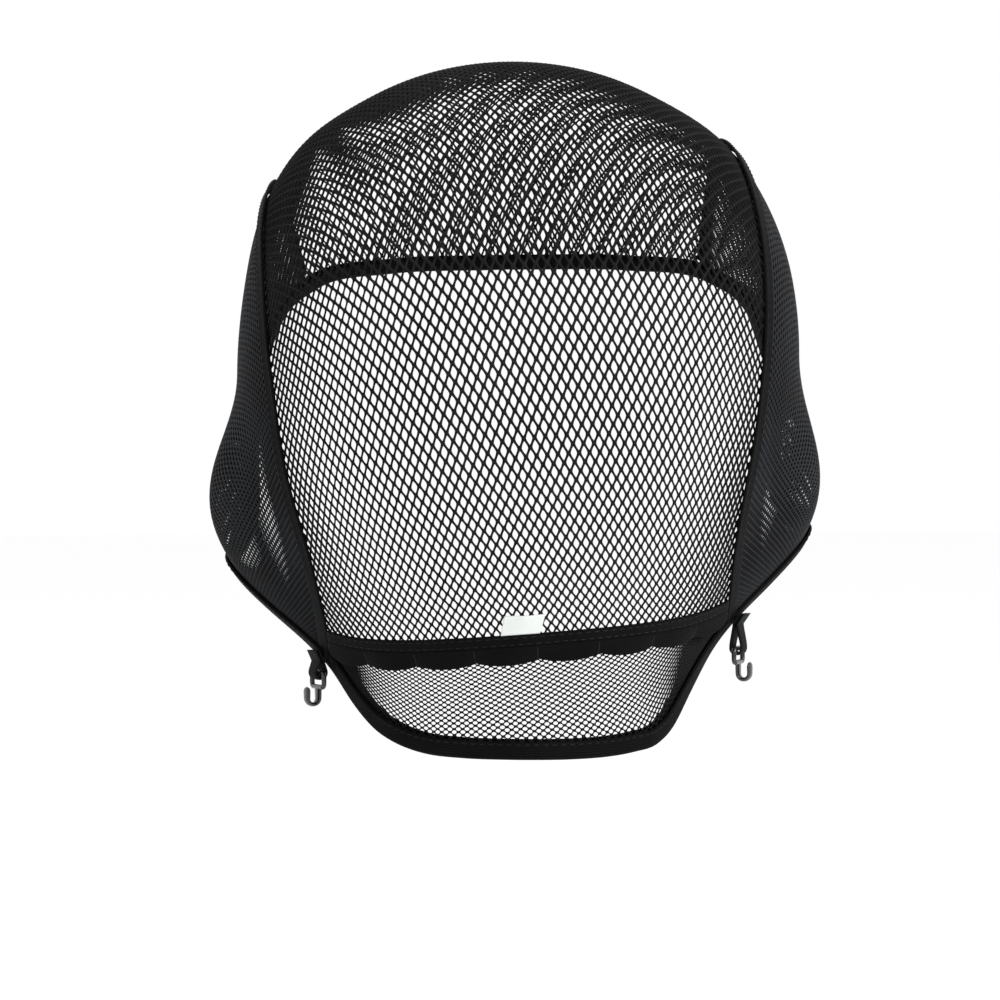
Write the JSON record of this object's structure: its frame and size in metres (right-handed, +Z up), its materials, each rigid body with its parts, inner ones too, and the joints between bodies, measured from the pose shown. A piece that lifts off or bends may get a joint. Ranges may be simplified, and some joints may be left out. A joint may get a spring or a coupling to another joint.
{
  "type": "wig cap",
  "caption": "Black net wig cap with a coarse crown net, finer side nets, a bound nape panel, bare size tag and two small hooks.",
  "frame": {"origin": "where the top of the head bears on the inside of the crown", "axes": "+Z up, +Y towards the face, +X towards the wearer's right"},
  "size_m": [0.1779, 0.1927, 0.199],
  "materials": {
    "crown_net": "coarse knitted black net",
    "side_net": "fine, dense black net",
    "nape_net": "fine black hexagonal net",
    "tape": "woven black tape",
    "binding": "folded black elastic, slightly satin",
    "tag": "white satin tape",
    "elastic": "narrow black elastic",
    "hook": "glossy black enamel"
  },
  "bodies": {
    "root": {"crown_net": "crown_net", "side_net_left": "side_net", "side_net_right": "side_net", "nape_net": "nape_net", "seam_tape_left": "tape", "seam_tape_right": "tape", "back_tape": "tape", "hook_loop_tape": "tape", "nape_binding": "binding", "face_binding": "binding", "size_tag": "tag", "elastic_tab_left": "elastic", "elastic_tab_right": "elastic", "hook_left": "hook", "hook_right": "hook"}
  },
  "joints": []
}
